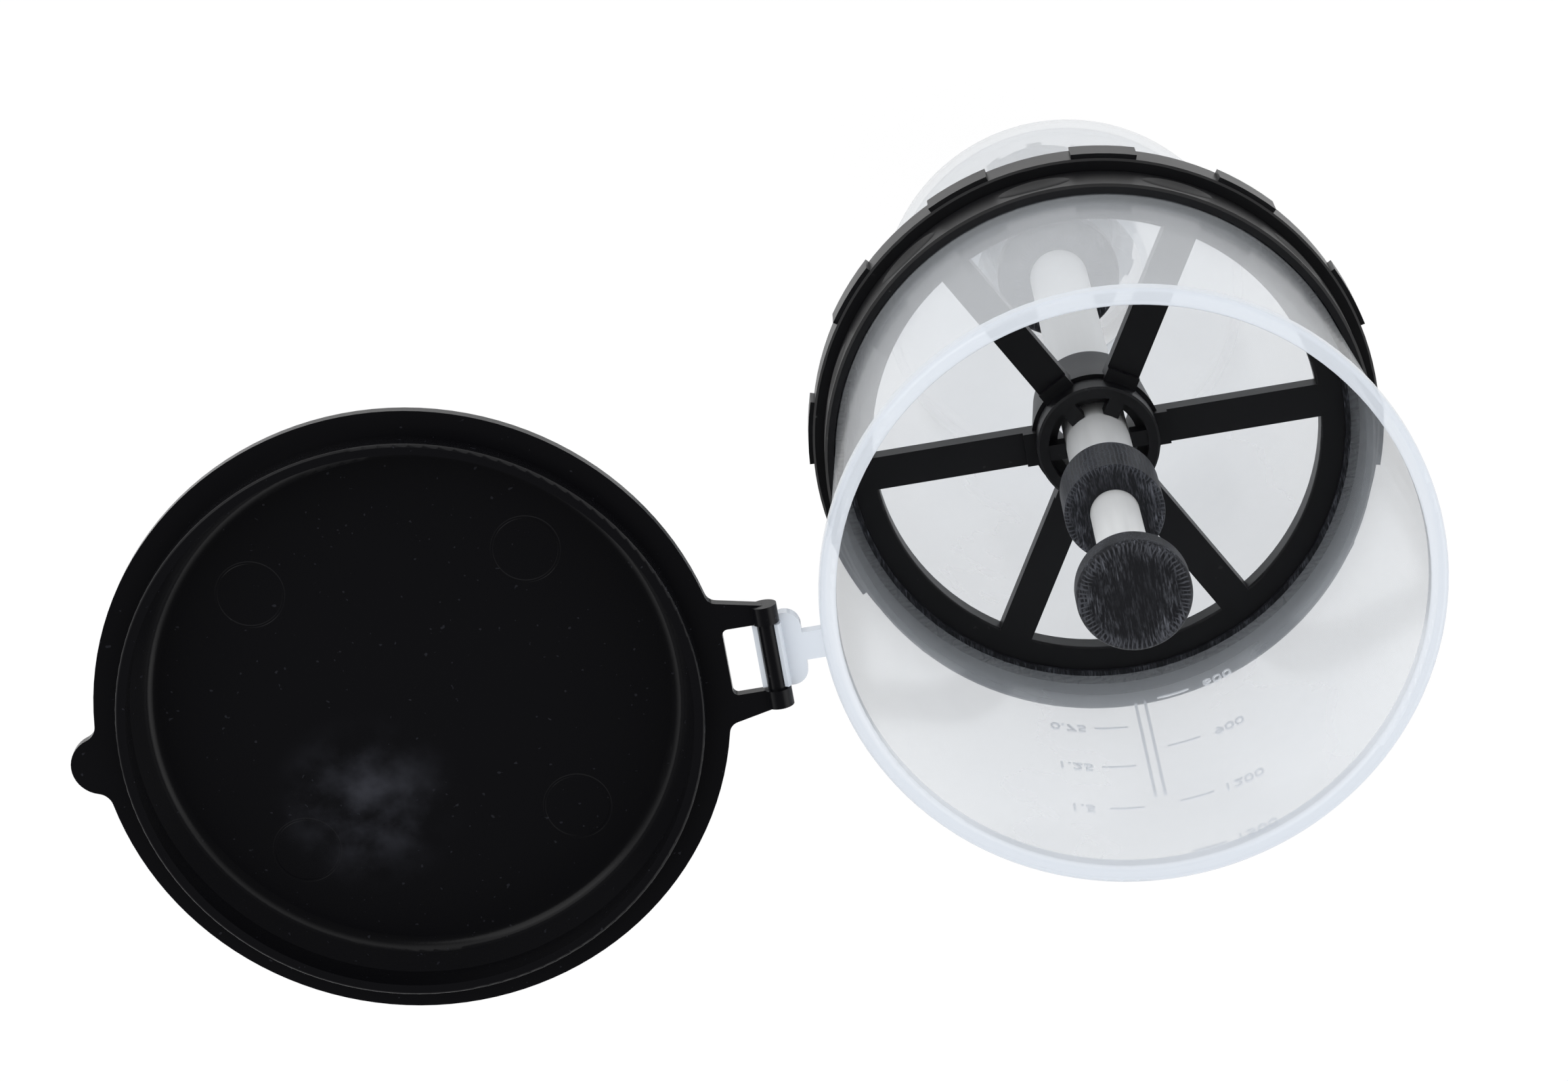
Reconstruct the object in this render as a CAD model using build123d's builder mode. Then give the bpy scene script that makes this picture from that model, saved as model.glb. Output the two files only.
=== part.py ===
"""Lidded measuring funnel with a telescopic shut-off stem.

A translucent measuring cup and a translucent hopper are clamped together by a
lock ring, with a six-spoked guide between them.  A stem slides in the guide's
hub and carries a stopper into the outlet neck.  The lid swings on a snap hinge.
Millimetres, +Z up; the origin is on the axis, where the spout leaves the nut.
"""
from build123d import *
import os

# ---------------------------------------- clearances
face_gap = 0.1          # between flat faces of pieces that move on each other
running_gap = 0.06      # radial, shaft in hole
thread_gap = 0.3        # radial, screwed pieces, drawn without their threads
swing_gap = 0.4         # round what swings or passes close by

# ---------------------------------------- spout and nut
spout_r = 11.0          # outside of the parallel spout
spout_bore_r = 8.5
spout_length = 35.0     # below the nut
spout_shoulder_r = 13.0 # where it passes through the nut
spout_flange_margin = 1.1  # of its flange inside the neck's thread
spout_flange = 3.0
spout_tip_chamfer = 1.0
nut_lip = 2.5
nut_height = 17.0
nut_wall = 3.4
nut_ribs = 12
nut_rib_width = 4.0
nut_rib_proud = 1.0
nut_chamfer = 0.8
nut_rib_margin = 1.2
outlet_seal = 1.5

# ---------------------------------------- hopper
wall = 2.0              # wall of the hopper and of the cup
neck_thread_wall = 2.8   # of the threaded neck outside the stopper's rim
neck_thread_height = 13.0
neck_cone = 13.0
neck_height = 47.5      # from the neck's end to the hopper's floor
chamber_clear = 5.8     # radial way past the raised stopper
hopper_floor_rise = 13.0
hopper_foot_r = 45.5    # outside, where the floor meets the wall
hopper_foot_round = 6.0
hopper_top_proud = 2.0   # of its wall outside the cup's foot
hopper_floor_wall = 1.8
hopper_shoulder_wall = 0.8
hopper_wall_height = 112.1
hopper_flange_proud = 1.3
hopper_flange = 2.4

# ---------------------------------------- guide spider
gasket = 1.2            # under the spider
foot_gasket = 1.0       # between spider and cup
foot_gasket_width = 3.2
spider_flange = 1.6
spider_rim_height = 5.6
spider_rim_width = 8.7   # inside the cup's foot
spider_rim_round = 0.6
spoke_count = 6
spoke_width = 7.7
spoke_height = 4.6
spoke_root_length = 2.6
spoke_root_rise = 1.6
spoke_bite = 1.0        # of each spoke into the rim
hub_bore_clear = 4.0    # round the tube, in the front ring's recess
hub_recess = 4.0
barrel_bore_clear = 1.8 # round the tube, behind the recess
hub_wall = 2.6          # of the front ring
hub_chamfer = 0.5
hub_rise = 6.7          # of the hub's face above the spider's face
hub_groove_depth = 0.6
hub_groove_height = 0.6
barrel_proud = 0.9      # of the barrel behind the front ring
barrel_taper = 1.7
barrel_height = 24.0
tooth_width = 3.6
tooth_height = 4.5
tooth_inset = 0.4       # of the teeth below the hub's face

# ---------------------------------------- measuring cup
cup_height = 105.2
cup_foot_r = 60.0       # outside of the parallel foot
cup_foot_height = 12.4
mouth_r = 65.0          # outside of the rim bead
bead_width = 3.6
bead_height = 4.0
bead_round = 1.4

# ---------------------------------------- lock ring
ring_wall = 2.1         # upper band
ring_band_height = 12.0
ring_groove_height = 0.8
ring_groove_depth = 0.6
ring_lower_wall = 1.4   # lower band, outside the flanges
ring_web = 1.9          # between the groove and the flanges
ring_lip = 1.6
ring_grips = 12
ring_grip_start = 20.0  # degrees from +X to the first raised pad
pad_angle = 13.0
pad_proud = 1.0
pad_height = 7.4
scoop_depth = 1.1
scoop_long_r = 60.0
scoop_short_r = 9.0
ring_top_chamfer = 0.6
ring_step_chamfer = 0.5
ring_foot_chamfer = 0.4

# ---------------------------------------- lid and hinge
lid_overhang = 1.0      # of the flange past the rim bead
lid_flange = 2.4
lid_lip_height = 6.0
lid_lip_wall = 2.2
lid_lip_gap = 0.6       # lip to rim bore at the mouth
lid_dome = 8.0          # of the panel's inner face past the flange face
lid_panel = 2.0
lid_dome_taper = 3.0
lid_round = 3.0
lip_round = 0.6
lip_foot_drop = 1.0
dish_foot_proud = 0.8
tab_r = 6.3
tab_root_round = 3.5
hinge_reach = 10.7      # from the rim bead to the hinge axis
hinge_rise = 1.0        # of the hinge axis above the mouth
bar_r = 2.0
boss_r = 2.8
boss_inner_y = 7.3
boss_width = 3.9
arm_root_y = 13.6
arm_root_inset = 1.5    # of the arms' roots inside the flange's edge
arm_bite = 6.6          # further in, where the arms' outline ends
arm_root_flare = 1.0
arm_root_round = 2.5
window_round = 1.2
window_margin = 0.4     # from the flange's edge to the window between the arms
hook_wall = 1.0
throat_low = 40.0       # degrees above the lid's way out, where the hook ends
throat_high = 180.0     # and where it starts again, level with the axis
throat_reach = 12.0
clip_length = 16.0
clip_width = 6.8
clip_thick = 2.8
clip_drop = 0.8         # of the clip's top below the mouth
clip_stem_width = 6.1

# ---------------------------------------- stem and plunger
tube_r = 7.4
tube_wall = 1.6
collar_wall = 3.6
collar_top_round = 0.8
collar_foot_round = 0.5
collar_height = 16.9
collar_cap = 3.0        # rubber over the end of the tube
stem_travel = 31.0      # collar down to hub
stopper_r = 15.7
stopper_rim_height = 6.0
stopper_cone_height = 8.0
stopper_foot_r = 11.0
stopper_socket = 9.0    # length of tube held in the stopper
stopper_round = 1.0
seat_drop = 1.0         # of the closed stopper's foot above the neck's end
retainer_proud = 1.6    # of its disc outside the tube
retainer_disc = 2.5
retainer_spigot = 18.0
rod_clear = 0.4         # rod to tube, away from the bush
stop_neck_cut = 1.62    # of the rod's end, inside its stop
plunger_travel = 44.0   # knob down to collar
bush_length = 20.0
stop_length = 6.0
knob_r = 12.1
knob_height = 9.4
knob_foot_r = 11.0
knob_round = 1.2
knob_foot_round = 0.8
knob_taper_height = 3.29
knob_socket = 5.5

# ---------------------------------------- levels worked out from the above
neck_thread_r = stopper_r + neck_thread_wall
spout_flange_r = neck_thread_r - spout_flange_margin
hopper_top_r = cup_foot_r + hopper_top_proud
spider_rim_inner_r = cup_foot_r - spider_rim_width
hub_bore_r = tube_r + hub_bore_clear
barrel_bore_r = tube_r + barrel_bore_clear
hub_r = hub_bore_r + hub_wall
barrel_r = hub_r + barrel_proud
barrel_foot_r = barrel_r - barrel_taper
collar_r = tube_r + collar_wall
retainer_r = tube_r + retainer_proud
rod_r = tube_r - tube_wall - rod_clear

flange_z = nut_lip + face_gap
seal_z = flange_z + spout_flange
neck_z = seal_z + outlet_seal
floor_z = neck_z + neck_height
shoulder_z = floor_z + hopper_floor_rise
hopper_top_z = shoulder_z + hopper_wall_height + hopper_flange
spider_z = hopper_top_z + gasket
spider_face_z = spider_z + spider_rim_height
cup_z = spider_face_z + foot_gasket
mouth_z = cup_z + cup_height
hub_face_z = spider_face_z + hub_rise

flange_r = hopper_top_r + hopper_flange_proud
ring_inner_r = cup_foot_r + thread_gap
ring_band_r = ring_inner_r + ring_wall
ring_cavity_r = flange_r + thread_gap
ring_lower_r = ring_cavity_r + ring_lower_wall
ring_cavity_z = hopper_top_z - hopper_flange - face_gap
ring_cavity_top = spider_z + spider_flange + swing_gap
ring_z = ring_cavity_z - ring_lip
ring_groove_z = ring_cavity_top + ring_web
ring_band_z = ring_groove_z + ring_groove_height
ring_top_z = ring_band_z + ring_band_height

mouth_bore_r = mouth_r - bead_width
hinge_x = -(mouth_r + hinge_reach)
hinge_z = mouth_z + hinge_rise
lid_x = 2 * hinge_x
lid_face_z = 2 * hinge_z - mouth_z - face_gap
lid_r = mouth_r + lid_overhang
lip_r = mouth_bore_r - lid_lip_gap
lip_inner_r = lip_r - lid_lip_wall

tube_bore_r = tube_r - tube_wall
tube_hole_r = tube_r + running_gap
collar_z = hub_face_z + stem_travel + face_gap
collar_top_z = collar_z + collar_height
tube_top_z = collar_top_z - collar_cap
stopper_z = neck_z + seat_drop + stem_travel
tube_z = stopper_z + stopper_rim_height + stopper_cone_height - stopper_socket
knob_z = collar_top_z + plunger_travel + face_gap
rod_top_z = knob_z + knob_socket
stop_top_z = tube_top_z - bush_length - face_gap
rod_z = stop_top_z - stop_length


def spin(points, centre_x=0):
    """Adds a turned solid: a closed outline of radius and height, spun round an upright axis."""
    with BuildSketch(Plane((centre_x, 0, 0), x_dir=(1, 0, 0), z_dir=(0, -1, 0))) as outline:
        with BuildLine():
            Polyline(*points, close=True)
        make_face()
    revolve(outline.sketch, axis=Axis((centre_x, 0, 0), (0, 0, 1)))


def circle_edges(part, radius, height):
    """Circular edges of one radius at one height."""
    found = []
    for edge in part.edges().filter_by(GeomType.CIRCLE):
        near_r = abs(edge.radius - radius) < 0.05
        near_z = abs(edge.arc_center.Z - height) < 0.05
        if near_r and near_z:
            found.append(edge)
    return found


def tube_points(inner_r, outer_r, low_z, high_z):
    """Outline of a plain ring."""
    return [(inner_r, low_z), (outer_r, low_z), (outer_r, high_z), (inner_r, high_z)]


# ---------------------------------------- spout: flanged parallel tube
with BuildPart() as spout:
    spin([
        (spout_bore_r, -spout_length),
        (spout_r - spout_tip_chamfer, -spout_length),
        (spout_r, -spout_length + spout_tip_chamfer),
        (spout_r, 0),
        (spout_shoulder_r, 0),
        (spout_shoulder_r, flange_z),
        (spout_flange_r, flange_z),
        (spout_flange_r, seal_z),
        (stopper_foot_r, seal_z),
        (spout_bore_r, seal_z - spout_flange),
    ])

# ---------------------------------------- outlet seal: washer between spout and neck
with BuildPart() as outlet_washer:
    spin(tube_points(stopper_foot_r + swing_gap, spout_flange_r, seal_z, neck_z))

# ---------------------------------------- outlet nut: ribbed union nut
nut_inner_r = neck_thread_r + thread_gap
nut_r = nut_inner_r + nut_wall
with BuildPart() as outlet_nut:
    spin([
        (spout_shoulder_r + thread_gap, 0),
        (nut_r, 0),
        (nut_r, nut_height),
        (nut_inner_r, nut_height),
        (nut_inner_r, nut_lip),
        (spout_shoulder_r + thread_gap, nut_lip),
    ])
    chamfer(circle_edges(outlet_nut.part, nut_r, nut_height), nut_chamfer)
    chamfer(circle_edges(outlet_nut.part, nut_r, 0), nut_chamfer)
    with BuildSketch(Plane.XY.offset(nut_rib_margin)):
        with PolarLocations(nut_r, nut_ribs):
            Rectangle(2 * nut_rib_proud, nut_rib_width)
    extrude(amount=nut_height - 2 * nut_rib_margin)

# ---------------------------------------- valve chamber: threaded neck and seat, up to the floor
seat_r = stopper_r + 2 * swing_gap - thread_gap
seat_foot_r = stopper_foot_r + thread_gap
seat_foot_z = neck_z + seat_drop
seat_z = seat_foot_z + stopper_cone_height
chamber_r = stopper_r + chamber_clear
neck_r = chamber_r + wall
thread_top_z = neck_z + neck_thread_height
cone_top_z = thread_top_z + neck_cone
with BuildPart() as valve_chamber:
    spin([
        (seat_foot_r, neck_z),
        (neck_thread_r, neck_z),
        (neck_thread_r, thread_top_z),
        (neck_r, cone_top_z),
        (neck_r, floor_z),
        (chamber_r, floor_z),
        (chamber_r, cone_top_z),
        (seat_r, seat_z),
        (seat_foot_r, seat_foot_z),
    ])

# ---------------------------------------- hopper: shallow floor and tapering wall
hopper_flange_z = hopper_top_z - hopper_flange
inner_shoulder_z = shoulder_z + hopper_shoulder_wall
with BuildPart() as hopper:
    spin([
        (chamber_r, floor_z),
        (neck_r, floor_z),
        (hopper_foot_r, shoulder_z),
        (hopper_top_r, hopper_flange_z),
        (flange_r, hopper_flange_z),
        (flange_r, hopper_top_z),
        (hopper_top_r - wall, hopper_top_z),
        (hopper_top_r - wall, hopper_flange_z),
        (hopper_foot_r - wall, inner_shoulder_z),
        (chamber_r, floor_z + hopper_floor_wall),
    ])
    fillet(circle_edges(hopper.part, hopper_foot_r, shoulder_z), hopper_foot_round)
    fillet(circle_edges(hopper.part, hopper_foot_r - wall, inner_shoulder_z), hopper_foot_round - wall)

# ---------------------------------------- gaskets: flat rubber rings
with BuildPart() as lower_gasket:
    spin(tube_points(hopper_top_r - wall + thread_gap, flange_r, hopper_top_z, spider_z))

with BuildPart() as upper_gasket:
    spin(tube_points(cup_foot_r - foot_gasket_width, cup_foot_r, spider_face_z, cup_z))

# ---------------------------------------- spider hub: front ring, barrel and guide teeth
barrel_top_z = spider_face_z - hub_groove_height
barrel_z = barrel_top_z - barrel_height
tooth_root_r = 0.5 * (hub_r + hub_bore_r)
with BuildPart() as spider_hub:
    spin([
        (barrel_bore_r, barrel_z),
        (barrel_foot_r, barrel_z),
        (barrel_r, barrel_top_z),
        (hub_r - hub_groove_depth, barrel_top_z),
        (hub_r - hub_groove_depth, spider_face_z),
        (hub_r, spider_face_z),
        (hub_r, hub_face_z),
        (hub_bore_r, hub_face_z),
        (hub_bore_r, hub_face_z - hub_recess),
        (barrel_bore_r, hub_face_z - hub_recess),
    ])
    chamfer(circle_edges(spider_hub.part, hub_r, hub_face_z), hub_chamfer)
    with BuildSketch(Plane.XY.offset(hub_face_z - tooth_height)):
        tooth_reach = tooth_root_r - tube_r
        with PolarLocations(tube_r, spoke_count):
            Rectangle(tooth_reach, tooth_width, align=(Align.MIN, Align.CENTER))
        Circle(tube_hole_r, mode=Mode.SUBTRACT)
    extrude(amount=tooth_height - tooth_inset)

# ---------------------------------------- guide spider: rim and spokes, cut to the hub
with BuildPart() as guide_spider:
    spin([
        (spider_rim_inner_r, spider_z),
        (flange_r, spider_z),
        (flange_r, spider_z + spider_flange),
        (cup_foot_r, spider_z + spider_flange),
        (cup_foot_r, spider_face_z),
        (spider_rim_inner_r, spider_face_z),
    ])
    fillet(circle_edges(guide_spider.part, spider_rim_inner_r, spider_face_z), spider_rim_round)
    with BuildSketch(Plane.XY.offset(spider_face_z - spoke_height)):
        spoke_reach = spider_rim_inner_r + spoke_bite - tooth_root_r
        with PolarLocations(tooth_root_r, spoke_count):
            Rectangle(spoke_reach, spoke_width, align=(Align.MIN, Align.CENTER))
    extrude(amount=spoke_height)
    with BuildSketch(Plane.XY.offset(spider_face_z)):
        root_reach = hub_r + spoke_root_length - tooth_root_r
        with PolarLocations(tooth_root_r, spoke_count):
            Rectangle(root_reach, spoke_width, align=(Align.MIN, Align.CENTER))
    extrude(amount=spoke_root_rise)
    add(spider_hub.part, mode=Mode.SUBTRACT)

# ---------------------------------------- measuring cup: beaded shell with the hinge clip
clip_top_z = mouth_z - clip_drop
clip_z = clip_top_z - clip_thick
clip_x = hinge_x + 0.5 * clip_width
with BuildPart() as measuring_cup:
    spin([
        (cup_foot_r - wall, cup_z),
        (cup_foot_r, cup_z),
        (cup_foot_r, cup_z + cup_foot_height),
        (mouth_bore_r + wall, mouth_z - bead_height),
        (mouth_r, mouth_z - bead_height),
        (mouth_r, mouth_z),
        (mouth_bore_r, mouth_z),
        (cup_foot_r - wall, cup_z + cup_foot_height),
    ])
    fillet(circle_edges(measuring_cup.part, mouth_r, mouth_z), bead_round)
    fillet(circle_edges(measuring_cup.part, mouth_bore_r, mouth_z), bead_round)
    with BuildSketch(Plane.XY.offset(clip_z)):
        with Locations((clip_x, 0)):
            SlotOverall(clip_length, clip_width, rotation=90)
        stem_length = -0.5 * bead_width - clip_x - mouth_bore_r
        with Locations((clip_x, 0)):
            Rectangle(stem_length, clip_stem_width, align=(Align.MIN, Align.CENTER))
    extrude(amount=clip_thick)
    throat = [Vector(hinge_x, hinge_z)]
    for angle in (throat_low, 0.5 * (throat_low + throat_high), throat_high):
        throat.append(throat[0] + Vector(throat_reach, 0).rotate(Axis.Z, angle))
    with BuildSketch(Plane.XZ):
        with Locations((hinge_x, hinge_z)):
            Circle(bar_r + running_gap + hook_wall)
        with BuildLine():
            Polyline(*throat, close=True)
        make_face(mode=Mode.SUBTRACT)
    extrude(amount=boss_inner_y - swing_gap, both=True)
    with BuildSketch(Plane.XZ):
        with Locations((hinge_x, hinge_z)):
            Circle(bar_r + running_gap)
    extrude(amount=clip_length, both=True, mode=Mode.SUBTRACT)
    for side in (1, -1):
        with BuildSketch(Plane.XZ.offset(-side * (boss_inner_y - swing_gap))):
            with Locations((hinge_x, hinge_z)):
                Circle(boss_r + swing_gap)
        extrude(amount=-side * boss_width, mode=Mode.SUBTRACT)

# ---------------------------------------- lock ring: scooped upper band, padded lower band
with BuildPart() as lock_ring:
    spin([
        (ring_inner_r, ring_top_z),
        (ring_band_r, ring_top_z),
        (ring_band_r, ring_band_z),
        (ring_band_r - ring_groove_depth, ring_band_z),
        (ring_band_r - ring_groove_depth, ring_groove_z),
        (ring_lower_r, ring_groove_z),
        (ring_lower_r, ring_z),
        (hopper_top_r + thread_gap, ring_z),
        (hopper_top_r + thread_gap, ring_cavity_z),
        (ring_cavity_r, ring_cavity_z),
        (ring_cavity_r, ring_cavity_top),
        (ring_inner_r, ring_cavity_top),
    ])
    chamfer(circle_edges(lock_ring.part, ring_band_r, ring_top_z), ring_top_chamfer)
    chamfer(circle_edges(lock_ring.part, ring_lower_r, ring_groove_z), ring_step_chamfer)
    chamfer(circle_edges(lock_ring.part, ring_lower_r, ring_z), ring_foot_chamfer)
    pad_z = 0.5 * (ring_z + ring_groove_z) - 0.5 * pad_height
    pad_root_r = ring_cavity_r + 0.5 * ring_lower_wall
    for index in range(ring_grips):
        middle = ring_grip_start + index * 360 / ring_grips
        with BuildSketch(Plane.XY.offset(pad_z)):
            with BuildLine():
                outer = CenterArc((0, 0), ring_lower_r + pad_proud, middle - pad_angle / 2, pad_angle)
                inner = CenterArc((0, 0), pad_root_r, middle - pad_angle / 2, pad_angle)
                Line(outer @ 0, inner @ 0)
                Line(outer @ 1, inner @ 1)
            make_face()
        extrude(amount=pad_height)
    scoop_z = ring_band_z + 0.5 * ring_band_height
    scoop_x = ring_band_r - scoop_depth + scoop_long_r
    scoop_turn = ring_grip_start + 180 / ring_grips
    with Locations(Location((0, 0, scoop_z))):
        with PolarLocations(scoop_x, ring_grips, start_angle=scoop_turn):
            Torus(scoop_long_r - scoop_short_r, scoop_short_r, mode=Mode.SUBTRACT)

# ---------------------------------------- lid: dished panel, plug lip, tab and hinge arms
panel_z = lid_face_z - lid_dome
panel_r = lip_inner_r - lid_dome_taper
dish_foot_r = panel_r + dish_foot_proud
arm_root_x = lid_x + lid_r - arm_root_inset
arm_start_x = lid_x + lid_r - arm_bite
flange_low_z = lid_face_z - lid_flange
arm_tip_y = boss_inner_y + boss_width
with BuildPart() as lid:
    with BuildSketch(Plane.XY.offset(flange_low_z)) as lid_plan:
        with Locations((lid_x, 0)):
            Circle(lid_r)
            with Locations((-lid_r, 0)):
                Circle(tab_r)
        with BuildLine():
            Polyline(
                (arm_start_x, arm_root_y + arm_root_flare),
                (arm_root_x, arm_root_y),
                (hinge_x, arm_tip_y),
                (hinge_x, -arm_tip_y),
                (arm_root_x, -arm_root_y),
                (arm_start_x, -arm_root_y - arm_root_flare),
                close=True,
            )
        make_face()
        tab_x = lid_x - lid_r
        tab_roots = lid_plan.vertices().filter_by_position(Axis.X, tab_x - tab_r, tab_x + tab_r)
        fillet(tab_roots, tab_root_round)
        arm_roots = lid_plan.vertices().filter_by_position(Axis.X, arm_start_x, lid_x + lid_r)
        fillet(arm_roots, arm_root_round)
        window_x = lid_x + lid_r + window_margin
        window_length = hinge_x + boss_r - window_x
        with Locations((window_x, 0)):
            RectangleRounded(
                window_length, 2 * boss_inner_y, window_round,
                align=(Align.MIN, Align.CENTER), mode=Mode.SUBTRACT,
            )
        with Locations((lid_x, 0)):
            Circle(lip_inner_r, mode=Mode.SUBTRACT)
    extrude(amount=lid_flange)
    spin([
        (0, panel_z - lid_panel),
        (dish_foot_r, panel_z - lid_panel),
        (lip_r, flange_low_z),
        (lip_r, lid_face_z + lid_lip_height),
        (lip_inner_r, lid_face_z + lid_lip_height),
        (lip_inner_r, lid_face_z - lip_foot_drop),
        (panel_r, panel_z),
        (0, panel_z),
    ], lid_x)
    with BuildSketch(Plane.XZ):
        with Locations((hinge_x, hinge_z)):
            Circle(bar_r)
    extrude(amount=boss_inner_y + 0.5 * boss_width, both=True)
    for side in (1, -1):
        with BuildSketch(Plane.XZ.offset(-side * boss_inner_y)):
            with Locations((hinge_x, hinge_z)):
                Circle(boss_r)
        extrude(amount=-side * boss_width)
    fillet(circle_edges(lid.part, panel_r, panel_z), lid_round)
    fillet(circle_edges(lid.part, dish_foot_r, panel_z - lid_panel), lid_round)
    fillet(circle_edges(lid.part, lip_r, lid_face_z + lid_lip_height), lip_round)

# ---------------------------------------- stem: tube, collar, stopper and its retainer
with BuildPart() as valve_tube:
    spin(tube_points(tube_bore_r, tube_r, tube_z, tube_top_z))

with BuildPart() as tube_collar:
    rod_hole_r = rod_r + running_gap
    spin([
        (tube_r, collar_z),
        (collar_r, collar_z),
        (collar_r, collar_top_z),
        (rod_hole_r, collar_top_z),
        (rod_hole_r, tube_top_z),
        (tube_r, tube_top_z),
    ])
    fillet(circle_edges(tube_collar.part, collar_r, collar_top_z), collar_top_round)
    fillet(circle_edges(tube_collar.part, collar_r, collar_z), collar_foot_round)

with BuildPart() as rod_bush:
    spin(tube_points(rod_hole_r, tube_bore_r, tube_top_z - bush_length, tube_top_z))

stopper_top_z = stopper_z + stopper_cone_height + stopper_rim_height
with BuildPart() as main_stopper:
    spin([
        (retainer_r, stopper_z),
        (stopper_foot_r, stopper_z),
        (stopper_r, stopper_z + stopper_cone_height),
        (stopper_r, stopper_top_z),
        (tube_r, stopper_top_z),
        (tube_r, tube_z),
        (tube_bore_r, tube_z),
        (tube_bore_r, stopper_z + retainer_disc),
        (retainer_r, stopper_z + retainer_disc),
    ])
    fillet(circle_edges(main_stopper.part, stopper_r, stopper_top_z), stopper_round)

with BuildPart() as stopper_retainer:
    spin([
        (0, stopper_z),
        (retainer_r, stopper_z),
        (retainer_r, stopper_z + retainer_disc),
        (tube_bore_r, stopper_z + retainer_disc),
        (tube_bore_r, stopper_z + retainer_disc + retainer_spigot),
        (0, stopper_z + retainer_disc + retainer_spigot),
    ])

# ---------------------------------------- plunger: rod, its stop and the knob
stop_neck_r = rod_r - stop_neck_cut
with BuildPart() as plunger_rod:
    spin([
        (0, rod_z),
        (stop_neck_r, rod_z),
        (stop_neck_r, stop_top_z),
        (rod_r, stop_top_z),
        (rod_r, rod_top_z),
        (0, rod_top_z),
    ])

with BuildPart() as rod_stop:
    spin(tube_points(stop_neck_r, tube_bore_r - running_gap, rod_z, stop_top_z))

knob_top_z = knob_z + knob_height
with BuildPart() as plunger_knob:
    spin([
        (rod_r, knob_z),
        (knob_foot_r, knob_z),
        (knob_r, knob_z + knob_taper_height),
        (knob_r, knob_top_z),
        (0, knob_top_z),
        (0, rod_top_z),
        (rod_r, rod_top_z),
    ])
    fillet(circle_edges(plunger_knob.part, knob_r, knob_top_z), knob_round)
    fillet(circle_edges(plunger_knob.part, knob_foot_r, knob_z), knob_foot_round)

# ---------------------------------------- write every piece
pieces = {
    "spout": spout,
    "outlet_seal": outlet_washer,
    "outlet_nut": outlet_nut,
    "valve_chamber": valve_chamber,
    "hopper": hopper,
    "lower_gasket": lower_gasket,
    "guide_spider": guide_spider,
    "spider_hub": spider_hub,
    "upper_gasket": upper_gasket,
    "measuring_cup": measuring_cup,
    "lock_ring": lock_ring,
    "lid": lid,
    "valve_tube": valve_tube,
    "tube_collar": tube_collar,
    "rod_bush": rod_bush,
    "main_stopper": main_stopper,
    "stopper_retainer": stopper_retainer,
    "plunger_rod": plunger_rod,
    "rod_stop": rod_stop,
    "plunger_knob": plunger_knob,
}
os.makedirs("parts", exist_ok=True)
for name, piece in pieces.items():
    piece.part.label = name
    export_step(piece.part, f"parts/{name}.step")
print("mouth height", round(mouth_z, 2), "hinge", round(hinge_x, 2), round(hinge_z, 2))
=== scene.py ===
import math

import bmesh
import bpy
import numpy as np
from mathutils import Matrix, Vector


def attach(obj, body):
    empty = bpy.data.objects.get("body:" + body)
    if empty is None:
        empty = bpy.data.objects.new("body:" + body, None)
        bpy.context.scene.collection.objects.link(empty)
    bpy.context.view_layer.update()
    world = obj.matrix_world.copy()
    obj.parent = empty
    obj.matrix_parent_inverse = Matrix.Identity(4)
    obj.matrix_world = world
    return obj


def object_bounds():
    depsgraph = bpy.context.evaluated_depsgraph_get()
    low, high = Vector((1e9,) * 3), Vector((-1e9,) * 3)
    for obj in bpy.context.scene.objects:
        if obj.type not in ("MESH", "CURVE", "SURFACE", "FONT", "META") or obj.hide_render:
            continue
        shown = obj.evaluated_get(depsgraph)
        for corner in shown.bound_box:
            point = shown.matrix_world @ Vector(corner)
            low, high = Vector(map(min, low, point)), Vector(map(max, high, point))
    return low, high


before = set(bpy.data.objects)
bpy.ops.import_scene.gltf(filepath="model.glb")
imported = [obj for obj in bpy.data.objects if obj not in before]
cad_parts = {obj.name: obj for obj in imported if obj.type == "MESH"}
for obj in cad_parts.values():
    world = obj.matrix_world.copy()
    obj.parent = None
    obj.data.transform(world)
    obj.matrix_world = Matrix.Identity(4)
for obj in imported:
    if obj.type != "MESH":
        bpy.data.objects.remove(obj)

bl_info = {
    "name": "Measuring funnel looks",
    "version": (1, 0, 0),
    "blender": (4, 5, 0),
    "location": "3D View > Sidebar > Funnel",
    "description": "Frosted cup and hopper, black guide and lid, rubber fittings and the studio",
    "category": "Object",
}

CAD_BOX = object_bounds()


class Socket:
    """One output of a node; arithmetic on it adds Math nodes."""

    def __init__(self, paint, output):
        self.paint = paint
        self.output = output

    def math(self, operation, *values):
        return self.paint.node("ShaderNodeMath", {"operation": operation}, dict(enumerate(values)))

    def __add__(self, other):
        return self.math("ADD", self, other)

    def __radd__(self, other):
        return self.math("ADD", other, self)

    def __sub__(self, other):
        return self.math("SUBTRACT", self, other)

    def __rsub__(self, other):
        return self.math("SUBTRACT", other, self)

    def __mul__(self, other):
        return self.math("MULTIPLY", self, other)

    def __rmul__(self, other):
        return self.math("MULTIPLY", other, self)

    def __pow__(self, other):
        return self.math("POWER", self, other)


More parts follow.
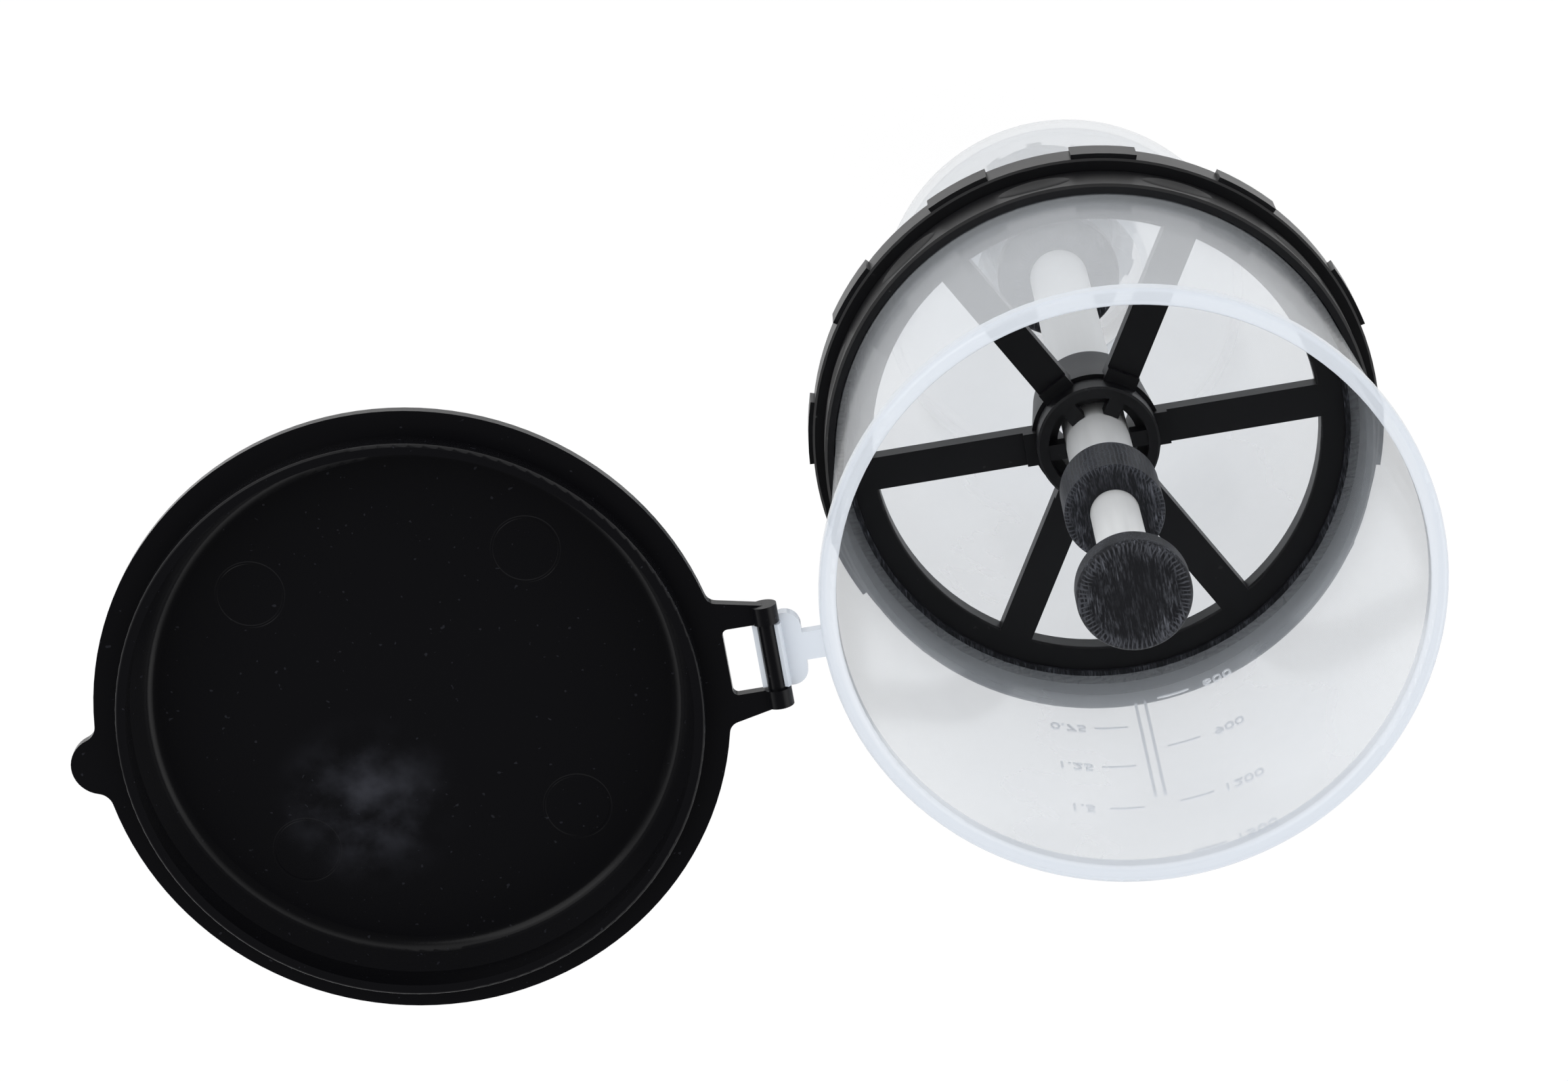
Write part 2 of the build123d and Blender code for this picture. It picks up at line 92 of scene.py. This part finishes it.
class Paint:
    """A material, its node tree and the calls that fill it."""

    def __init__(self, name, colour, roughness, **fixed):
        self.material = bpy.data.materials.new(name)
        self.material.use_nodes = True
        self.tree = self.material.node_tree
        self.tree.nodes.clear()
        self.surface = self.tree.nodes.new("ShaderNodeBsdfPrincipled")
        self.output = self.tree.nodes.new("ShaderNodeOutputMaterial")
        self.tree.links.new(self.surface.outputs[0], self.output.inputs["Surface"])
        self.set("Base Color", (*colour, 1.0))
        self.set("Roughness", roughness)
        for socket, value in fixed.items():
            self.set(socket.replace("_", " "), value)
        self.place = self.node("ShaderNodeTexCoord", {}, {}, "Object")

    def node(self, kind, settings, inputs, output=0):
        """Adds one node: its settings first, then its sockets' values or links."""
        made = self.tree.nodes.new(kind)
        for key, value in settings.items():
            setattr(made, key, value)
        for key, value in inputs.items():
            self.join(made.inputs[key], value)
        return Socket(self, made.outputs[output])

    def join(self, socket, value):
        if isinstance(value, Socket):
            self.tree.links.new(value.output, socket)
        else:
            socket.default_value = value

    def set(self, name, value):
        self.join(self.surface.inputs[name], value)

    def noise(self, scale, detail=2.0, vector=None):
        """Smooth random pattern from 0 to 1, scale in cells per metre."""
        sockets = {"Vector": vector or self.place, "Scale": scale, "Detail": detail}
        return self.node("ShaderNodeTexNoise", {}, sockets)

    def step(self, value, low, high):
        """0 below low, 1 above high, eased between."""
        sockets = {"Value": value, "From Min": low, "From Max": high}
        return self.node("ShaderNodeMapRange", {"interpolation_type": "SMOOTHSTEP"}, sockets)

    def blend(self, factor, first, second):
        """One colour passing into another by a factor."""
        made = self.tree.nodes.new("ShaderNodeMix")
        made.data_type = "RGBA"
        sockets = [s for s in made.inputs if s.type == "RGBA"]
        self.join(made.inputs[0], factor)
        for socket, colour in zip(sockets, (first, second)):
            self.join(socket, colour if isinstance(colour, Socket) else (*colour, 1.0))
        return Socket(self, [s for s in made.outputs if s.type == "RGBA"][0])

    def split(self):
        """The three coordinates of the place, in metres."""
        return [self.node("ShaderNodeSeparateXYZ", {}, {"Vector": self.place}, axis) for axis in "XYZ"]

    def bump(self, height, depth, strength=1.0):
        """Raises the surface by height times depth, in metres."""
        sockets = {"Height": height, "Distance": depth, "Strength": strength}
        self.set("Normal", self.node("ShaderNodeBump", {}, sockets, "Normal"))


def shell_mesh(name, top, under):
    """A closed shell between two grids of one size: both grids, and a strip that joins their borders."""
    rows, columns = top.shape[:2]
    count = rows * columns
    index = np.arange(count).reshape(rows, columns)
    outer = np.stack([index[:-1, :-1], index[1:, :-1], index[1:, 1:], index[:-1, 1:]], -1).reshape(-1, 4)
    inner = outer[:, ::-1] + count
    border = np.concatenate([index[:-1, 0], index[-1, :-1], index[:0:-1, -1], index[0, :0:-1]])
    ahead = np.roll(border, -1)
    strip = np.stack([ahead, border, border + count, ahead + count], -1)
    mesh = bpy.data.meshes.new(name)
    points = np.concatenate([top.reshape(-1, 3), under.reshape(-1, 3)])
    mesh.from_pydata(points.tolist(), [], np.concatenate([outer, inner, strip]).tolist())
    mesh.shade_smooth()
    return mesh


def add_piece(name, mesh, paint, body):
    """Puts a mesh in the scene as a piece that rides on a body and takes its finish from a slot."""
    piece = bpy.data.objects.new(name, mesh)
    bpy.context.scene.collection.objects.link(piece)
    mesh.materials.append(paint.material)
    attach(piece, body)
    return piece


def repaint(node, paint):
    """Gives a CAD node a new material in every slot it has."""
    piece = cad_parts[node]
    if not piece.material_slots:
        piece.data.materials.append(paint.material)
    for holder in piece.material_slots:
        holder.material = paint.material


MOUTH_Z = 0.2951
# Between these heights the thin wall passes into the thick rim bead.
BEAD_LOW_Z = MOUTH_Z - 0.0046
BEAD_HIGH_Z = MOUTH_Z - 0.0036
# The cup tapers from its bead to its foot: the marks on its wall follow that cone.
FOOT_R, BEAD_R = 0.0600, 0.0634
FOOT_Z, TAPER_TOP_Z = 0.2023, 0.2911
LID_CENTRE_X = -0.1514
DUST_EAST, DUST_NORTH, DUST_R = -0.0145, -0.021, 0.022
EJECTOR_REACH, EJECTOR_R = 0.0411, 0.0070
# Under the wall's surface, so that a mark has no gap behind it.
MARK_ROOT = -0.0002
LINE_REACH = 0.0011
LINE_LOW_Z, LINE_HIGH_Z = 0.2035, 0.2560
TICK_NEAR, TICK_FAR = 0.0040, 0.0115
FIGURE_SIZE = 0.0050
FIGURE_RIGHT, FIGURE_LEFT = 0.0185, -0.0175
# Depth of each mark below the mouth, in mouth radii, and its figure.
MOUTH_R = 0.065
RIGHT_MARKS = ((0.1400, "1500"), (0.5350, "1200"), (0.9900, "900"), (1.4100, "600"))
LEFT_MARKS = ((0.5300, "1.5"), (0.8700, "1.25"), (1.2000, "0.75"))
FLOOR_REACH = 6.0
FLOOR_DROP = 0.001


def wall_radius(height):
    """Radius of the cup's outside at a height, straight from the foot to the bead."""
    share = np.clip((height - FOOT_Z) / (TAPER_TOP_Z - FOOT_Z), 0.0, 1.0)
    return FOOT_R + (BEAD_R - FOOT_R) * share


def wall_points(along, height, lift):
    """Wraps flat marks on the cup's -Y side: angle is -90 degrees plus the distance over the radius."""
    radius = wall_radius(height)
    angle = -0.5 * math.pi + along / radius
    out = radius + lift
    return np.stack([out * np.cos(angle), out * np.sin(angle), height], -1)


def frosted_paint(look):
    """Translucent plastic with a fine frosting, faint cloudiness and a milky tint."""
    gloss = {"IOR": 1.49, "Coat_Weight": 0.6, "Coat_Roughness": 0.10}
    paint = Paint("frosted_plastic", look.frost_colour, look.frost_roughness, **gloss)
    cloud = paint.noise(28.0, 3.0)
    grain = paint.noise(900.0, 2.0)
    thick = paint.step(paint.split()[2], BEAD_LOW_Z, BEAD_HIGH_Z)
    thin = paint.blend(cloud, tuple(0.97 * c for c in look.frost_colour), look.frost_colour)
    paint.set("Base Color", paint.blend(thick, thin, look.rim_colour))
    paint.set("Roughness", look.frost_roughness + 0.08 * grain)
    paint.bump(grain, 0.00001, 0.3)
    paint.set("Alpha", look.frost_opacity + 0.08 * cloud + 0.42 * thick)
    return paint


def milky_paint(look):
    """The same plastic as the wall, a little milkier where the marks stand proud of it."""
    paint = Paint("milky_plastic", look.mark_colour, 0.32, IOR=1.49)
    grain = paint.noise(500.0, 2.0)
    paint.set("Roughness", 0.26 + 0.16 * grain)
    paint.bump(grain, 0.00003, 0.3)
    return paint


def black_paint(name, colour, roughness, scuff):
    """Moulded black plastic: fine grain, and pale worn specks where scuff is above nought."""
    paint = Paint(name, colour, roughness, Specular_IOR_Level=0.35)
    grain = paint.noise(1400.0, 3.0)
    patch = paint.noise(40.0, 2.0)
    specks = paint.step(paint.noise(620.0, 1.0), 0.70, 0.76) * paint.step(patch, 0.52, 0.66)
    worn = tuple(min(1.0, c + 0.10) for c in colour)
    paint.set("Base Color", paint.blend(specks * scuff, colour, worn))
    paint.set("Roughness", roughness + 0.14 * (patch - 0.5) + 0.2 * specks * scuff)
    paint.bump(grain, 0.00003, 0.35)
    return paint


def lid_paint(look):
    """Glossier black with a dull scuffed patch and faint ejector circles on the panel."""
    paint = Paint("lid_black", look.lid_colour, 0.24, Specular_IOR_Level=0.22)
    across, north = paint.split()[:2]
    east = across - LID_CENTRE_X
    patch_reach = ((east - DUST_EAST) ** 2.0 + (north - DUST_NORTH) ** 2.0) ** 0.5
    dust = 1.0 - paint.step(patch_reach, 0.001, DUST_R)
    dust = dust * paint.step(paint.noise(90.0, 12.0), 0.36, 0.80)
    specks = paint.step(paint.noise(760.0, 1.0), 0.74, 0.78)
    rings = 0.0
    for turn in range(4):
        angle = math.radians(45.0 + 90.0 * turn)
        x, y = EJECTOR_REACH * math.cos(angle), EJECTOR_REACH * math.sin(angle)
        reach = ((east - x) ** 2.0 + (north - y) ** 2.0) ** 0.5
        inner = paint.step(reach, EJECTOR_R - 0.0004, EJECTOR_R - 0.0001)
        line = inner - paint.step(reach, EJECTOR_R + 0.0001, EJECTOR_R + 0.0004)
        rings = line + rings
    mask = paint.node("ShaderNodeMath", {"operation": "MAXIMUM"}, {0: 0.9 * dust, 1: 0.3 * specks})
    paint.set("Base Color", paint.blend(mask, look.lid_colour, (0.036, 0.038, 0.050)))
    paint.set("Roughness", 0.22 + 0.30 * mask + 0.05 * paint.noise(55.0, 3.0))
    paint.bump(paint.noise(1200.0, 2.0) * 0.15 - rings, 0.00012, 0.6)
    return paint


def rubber_paint(look):
    """Dull black rubber: crossed scratches, chalkier towards the rim, and short radial ridges on it."""
    paint = Paint("black_rubber", look.rubber_colour, 0.55, Specular_IOR_Level=0.2)
    across, along = paint.split()[:2]
    reach = (across ** 2.0 + along ** 2.0) ** 0.5
    angle = paint.node("ShaderNodeMath", {"operation": "ARCTAN2"}, {0: along, 1: across})
    wave = angle * 70.0 + 9.0 * paint.noise(300.0)
    spoke = paint.node("ShaderNodeMath", {"operation": "SINE"}, {0: wave})
    rim = paint.step(reach, 0.0088, 0.0106) - paint.step(reach, 0.0112, 0.0120)
    ridges = rim * paint.step(spoke, 0.1, 0.9)
    scratches = 0.0
    for turn, stretch in ((0.5, 0.10), (-0.7, 0.16), (1.4, 0.22)):
        sockets = {"Vector": paint.place, "Rotation": (0.0, 0.0, turn), "Scale": (1.0, stretch, 1.0)}
        turned = paint.node("ShaderNodeMapping", {}, sockets)
        scratches = paint.step(paint.noise(2600.0, 3.0, turned), 0.50, 0.74) + scratches
    outward = 0.30 + 0.70 * paint.step(reach, 0.003, 0.011)
    chalk = 0.45 * scratches * outward * paint.step(paint.noise(190.0, 3.0), 0.25, 0.70)
    mask = paint.node("ShaderNodeMath", {"operation": "MAXIMUM"}, {0: chalk, 1: 0.30 * ridges})
    paint.set("Base Color", paint.blend(mask, look.rubber_colour, (0.16, 0.17, 0.20)))
    paint.set("Roughness", 0.44 + 0.24 * mask)
    paint.bump(ridges + 0.25 * scratches, 0.00010, 0.5)
    return paint


def white_paint(look):
    """Smooth white tube plastic with a faint warm cast and long drawn lines."""
    paint = Paint("white_plastic", look.tube_colour, 0.32)
    stretched = paint.node("ShaderNodeMapping", {}, {"Vector": paint.place, "Scale": (1.0, 1.0, 0.03)})
    lines = paint.noise(700.0, 3.0, stretched)
    shade = tuple(0.93 * c for c in look.tube_colour)
    paint.set("Base Color", paint.blend(lines, shade, look.tube_colour))
    paint.set("Roughness", 0.26 + 0.14 * lines)
    paint.bump(lines, 0.00002, 0.4)
    return paint


class FunnelLook(bpy.types.PropertyGroup):
    """Sizes and colours a user may change."""

    frost_colour: bpy.props.FloatVectorProperty(
        name="Frosted plastic", description="Tint of the cup and the hopper",
        subtype="COLOR", size=3, default=(0.84, 0.88, 0.93), min=0.0, max=1.0)
    frost_opacity: bpy.props.FloatProperty(
        name="Frosting", description="How much of what lies behind the wall is hidden",
        subtype="FACTOR", default=0.31, min=0.0, max=1.0)
    frost_roughness: bpy.props.FloatProperty(
        name="Wall roughness", description="Roughness of the frosted wall",
        subtype="FACTOR", default=0.16, min=0.0, max=1.0)
    rim_colour: bpy.props.FloatVectorProperty(
        name="Thick plastic", description="Tint of the rim bead and the hinge clip",
        subtype="COLOR", size=3, default=(0.74, 0.79, 0.86), min=0.0, max=1.0)
    lid_colour: bpy.props.FloatVectorProperty(
        name="Lid", description="Colour of the lid", subtype="COLOR", size=3,
        default=(0.004, 0.004, 0.005), min=0.0, max=1.0)
    black_colour: bpy.props.FloatVectorProperty(
        name="Ring and guide", description="Colour of the lock ring and the spoked guide",
        subtype="COLOR", size=3, default=(0.004, 0.004, 0.005), min=0.0, max=1.0)
    rubber_colour: bpy.props.FloatVectorProperty(
        name="Rubber", description="Colour of the collar, the knob and the seals",
        subtype="COLOR", size=3, default=(0.009, 0.0095, 0.012), min=0.0, max=1.0)
    tube_colour: bpy.props.FloatVectorProperty(
        name="Tube", description="Colour of the stem tube and its rod",
        subtype="COLOR", size=3, default=(0.92, 0.92, 0.91), min=0.0, max=1.0)
    mark_colour: bpy.props.FloatVectorProperty(
        name="Marks", description="Tint of the raised graduation",
        subtype="COLOR", size=3, default=(0.93, 0.95, 0.98), min=0.0, max=1.0)
    mark_lift: bpy.props.FloatProperty(
        name="Mark height", description="How far the graduation stands off the wall",
        unit="LENGTH", default=0.00022, min=0.0, max=0.001)
    mark_width: bpy.props.FloatProperty(
        name="Mark width", description="Width of a graduation line",
        unit="LENGTH", default=0.0007, min=0.0002, max=0.002)


class FUNNEL_OT_plastics(bpy.types.Operator):
    """Frosts the cup, the hopper and the outlet"""
    bl_idname = "funnel.plastics"
    bl_label = "Frosted plastics"

    def execute(self, context):
        look = context.scene.funnel_look
        frosted = frosted_paint(look)
        for node in ("measuring_cup", "hopper", "valve_chamber", "spout"):
            repaint(node, frosted)
        return {"FINISHED"}


class FUNNEL_OT_blacks(bpy.types.Operator):
    """Finishes the lock ring, guide, lid and outlet nut"""
    bl_idname = "funnel.blacks"
    bl_label = "Black mouldings"

    def execute(self, context):
        look = context.scene.funnel_look
        repaint("lock_ring", black_paint("ring_black", look.black_colour, 0.36, 0.9))
        guide = black_paint("guide_black", look.black_colour, 0.42, 0.15)
        for node in ("guide_spider", "spider_hub", "outlet_nut"):
            repaint(node, guide)
        repaint("lid", lid_paint(look))
        return {"FINISHED"}


class FUNNEL_OT_stem(bpy.types.Operator):
    """Finishes the tube, the rod and every rubber piece"""
    bl_idname = "funnel.stem"
    bl_label = "Stem and rubber"

    def execute(self, context):
        look = context.scene.funnel_look
        white = white_paint(look)
        for node in ("valve_tube", "plunger_rod", "rod_bush", "rod_stop", "stopper_retainer"):
            repaint(node, white)
        rubber = rubber_paint(look)
        seals = ("main_stopper", "lower_gasket", "upper_gasket", "outlet_seal")
        for node in ("tube_collar", "plunger_knob", *seals):
            repaint(node, rubber)
        return {"FINISHED"}


class FUNNEL_OT_marks(bpy.types.Operator):
    """Raises the graduation on the cup's wall: two upright lines, ticks each side and plain numbers"""
    bl_idname = "funnel.marks"
    bl_label = "Graduation"

    def bar(self, name, low, high, look, paint):
        """A rounded ridge on the wall: a half-sine section swept over a rectangle."""
        across = np.linspace(low[0], high[0], 13)
        up = np.linspace(low[1], high[1], 25)
        grid_x, grid_z = np.meshgrid(across, up, indexing="ij")
        share_x = (grid_x - low[0]) / (high[0] - low[0])
        share_z = (grid_z - low[1]) / (high[1] - low[1])
        ridge = np.sqrt(np.clip(np.sin(math.pi * share_x) * np.sin(math.pi * share_z), 0.0, 1.0))
        top = wall_points(grid_x, grid_z, look.mark_lift * ridge)
        under = wall_points(grid_x, grid_z, MARK_ROOT * np.ones_like(ridge))
        return add_piece(name, shell_mesh(name, top, under), paint, "funnel")

    def number(self, name, text, along, height, size, look, paint):
        """Raised figures: a flat text made a mesh, then wrapped on the wall."""
        curve = bpy.data.curves.new(name, "FONT")
        curve.body = text
        curve.size = size
        curve.align_x = "CENTER"
        curve.align_y = "CENTER"
        curve.extrude = 0.5
        flat = bpy.data.objects.new(name + "_flat", curve)
        bpy.context.scene.collection.objects.link(flat)
        bpy.context.view_layer.update()
        mesh = bpy.data.meshes.new_from_object(flat)
        mesh.name = name
        bpy.data.objects.remove(flat)
        count = len(mesh.vertices)
        place = np.zeros(count * 3)
        mesh.vertices.foreach_get("co", place)
        place = place.reshape(-1, 3)
        lift = np.where(place[:, 2] > 0.0, look.mark_lift, MARK_ROOT)
        wrapped = wall_points(along + place[:, 0], height + place[:, 1], lift)
        mesh.vertices.foreach_set("co", wrapped.ravel())
        mesh.materials.clear()
        welded = bmesh.new()
        welded.from_mesh(mesh)
        bmesh.ops.remove_doubles(welded, verts=welded.verts, dist=1e-6)
        welded.to_mesh(mesh)
        welded.free()
        mesh.update()
        return add_piece(name, mesh, paint, "funnel")

    def execute(self, context):
        look = context.scene.funnel_look
        paint = milky_paint(look)
        half = 0.5 * look.mark_width
        for side, along in (("left", -LINE_REACH), ("right", LINE_REACH)):
            low, high = (along - half, LINE_LOW_Z), (along + half, LINE_HIGH_Z)
            self.bar("scale_line_" + side, low, high, look, paint)
        for side, marks, near, far, middle in (
                ("right", RIGHT_MARKS, TICK_NEAR, TICK_FAR, FIGURE_RIGHT),
                ("left", LEFT_MARKS, -TICK_FAR, -TICK_NEAR, FIGURE_LEFT)):
            for count, (depth, text) in enumerate(marks):
                height = MOUTH_Z - MOUTH_R * depth
                name = "%s_%d" % (side, count)
                self.bar("tick_" + name, (near, height - half), (far, height + half), look, paint)
                self.number("figure_" + name, text, middle, height, FIGURE_SIZE, look, paint)
        return {"FINISHED"}


class FUNNEL_OT_stage(bpy.types.Operator):
    """Sets the pale floor, the soft lamps, the plain world and the camera"""
    bl_idname = "funnel.stage"
    bl_label = "Studio"

    def floor(self):
        level = CAD_BOX[0][2] - FLOOR_DROP
        turns = ((-1, -1), (1, -1), (1, 1), (-1, 1))
        corners = [(x * FLOOR_REACH, y * FLOOR_REACH, level) for x, y in turns]
        mesh = bpy.data.meshes.new("floor")
        mesh.from_pydata(corners, [], [(0, 1, 2, 3)])
        plane = bpy.data.objects.new("floor", mesh)
        bpy.context.scene.collection.objects.link(plane)
        paint = Paint("floor_white", (0.90, 0.90, 0.90), 0.9)
        glow = paint.tree.nodes.new("ShaderNodeEmission")
        glow.inputs["Strength"].default_value = 1.03
        path = paint.tree.nodes.new("ShaderNodeLightPath")
        seen = Socket(paint, path.outputs["Is Camera Ray"])
        seen = seen.math("MAXIMUM", seen, Socket(paint, path.outputs["Is Transmission Ray"]))
        mix = paint.tree.nodes.new("ShaderNodeMixShader")
        paint.join(mix.inputs[0], seen * 0.86)
        paint.tree.links.new(paint.surface.outputs[0], mix.inputs[1])
        paint.tree.links.new(glow.outputs[0], mix.inputs[2])
        paint.tree.links.new(mix.outputs[0], paint.output.inputs["Surface"])
        mesh.materials.append(paint.material)

    def world(self):
        """White to the camera, plain light to surfaces; reflections are white low down and dark overhead."""
        world = bpy.data.worlds.new("studio")
        world.use_nodes = True
        tree = world.node_tree
        tree.nodes.clear()

        def add(kind, **inputs):
            made = tree.nodes.new(kind)
            for key, value in inputs.items():
                socket = made.inputs[key.replace("_", " ")]
                if isinstance(value, bpy.types.NodeSocket):
                    tree.links.new(value, socket)
                else:
                    socket.default_value = value
            return made

        path = add("ShaderNodeLightPath")
        direction = add("ShaderNodeTexCoord")
        parts = add("ShaderNodeSeparateXYZ", Vector=direction.outputs["Generated"])
        reach = {"From_Min": 0.35, "From_Max": 0.80, "To_Min": 0.95, "To_Max": 0.05}
        overhead = add("ShaderNodeMapRange", Value=parts.outputs["Z"], **reach)
        plain = add("ShaderNodeBackground", Strength=0.95)
        mirrored = add("ShaderNodeBackground", Strength=overhead.outputs[0])
        white = add("ShaderNodeBackground", Strength=1.0)
        for made in (plain, mirrored, white):
            made.inputs["Color"].default_value = (1.0, 1.0, 1.0, 1.0)
        glossy = tree.nodes.new("ShaderNodeMixShader")
        seen = tree.nodes.new("ShaderNodeMixShader")
        out = tree.nodes.new("ShaderNodeOutputWorld")
        tree.links.new(path.outputs["Is Glossy Ray"], glossy.inputs[0])
        tree.links.new(plain.outputs[0], glossy.inputs[1])
        tree.links.new(mirrored.outputs[0], glossy.inputs[2])
        tree.links.new(path.outputs["Is Camera Ray"], seen.inputs[0])
        tree.links.new(glossy.outputs[0], seen.inputs[1])
        tree.links.new(white.outputs[0], seen.inputs[2])
        tree.links.new(seen.outputs[0], out.inputs["Surface"])
        bpy.context.scene.world = world

    def lamp(self, name, place, aim, size, power):
        light = bpy.data.lights.new(name, "AREA")
        light.shape = "RECTANGLE"
        light.size, light.size_y = size
        light.energy = power
        holder = bpy.data.objects.new(name, light)
        bpy.context.scene.collection.objects.link(holder)
        holder.location = place
        holder.rotation_euler = (Vector(aim) - Vector(place)).to_track_quat("-Z", "Y").to_euler()

    def camera(self):
        """The camera's three directions, its distance from the mouth and its lens."""
        right = Vector((0.985, -0.1707, 0.005))
        up = Vector((0.163, 0.9315, -0.325))
        forward = Vector((-0.0508, -0.3209, -0.946))
        turn = Matrix((right, up, -forward)).transposed()
        data = bpy.data.cameras.new("camera")
        data.lens = 101.04
        data.sensor_width = 36.0
        data.clip_end = 50.0
        holder = bpy.data.objects.new("camera", data)
        bpy.context.scene.collection.objects.link(holder)
        holder.rotation_euler = turn.to_euler()
        holder.location = (-0.0232, 0.3134, 1.1483)
        bpy.context.scene.camera = holder

    def execute(self, context):
        self.floor()
        self.world()
        self.lamp("key", (-0.9, 0.9, 1.6), (-0.05, 0.0, 0.2), (1.2, 1.2), 6.0)
        self.lamp("fill", (1.2, -0.6, 1.2), (0.0, 0.0, 0.2), (1.4, 1.0), 3.0)
        context.scene.view_settings.view_transform = "Standard"
        self.camera()
        return {"FINISHED"}


class FUNNEL_PT_panel(bpy.types.Panel):
    bl_label = "Measuring funnel"
    bl_idname = "FUNNEL_PT_panel"
    bl_space_type = "VIEW_3D"
    bl_region_type = "UI"
    bl_category = "Funnel"

    def draw(self, context):
        look = context.scene.funnel_look
        for name in FunnelLook.__annotations__:
            self.layout.prop(look, name)
        for operator in OPERATORS:
            self.layout.operator(operator.bl_idname)


OPERATORS = (FUNNEL_OT_plastics, FUNNEL_OT_blacks, FUNNEL_OT_stem, FUNNEL_OT_marks, FUNNEL_OT_stage)
CLASSES = (FunnelLook, *OPERATORS, FUNNEL_PT_panel)


def register():
    for item in CLASSES:
        bpy.utils.register_class(item)
    bpy.types.Scene.funnel_look = bpy.props.PointerProperty(type=FunnelLook)


def unregister():
    del bpy.types.Scene.funnel_look
    for item in reversed(CLASSES):
        bpy.utils.unregister_class(item)


def main():
    register()
    bpy.ops.funnel.plastics()
    bpy.ops.funnel.blacks()
    bpy.ops.funnel.stem()
    bpy.ops.funnel.marks()
    bpy.ops.funnel.stage()


if __name__ == "__main__":
    main()
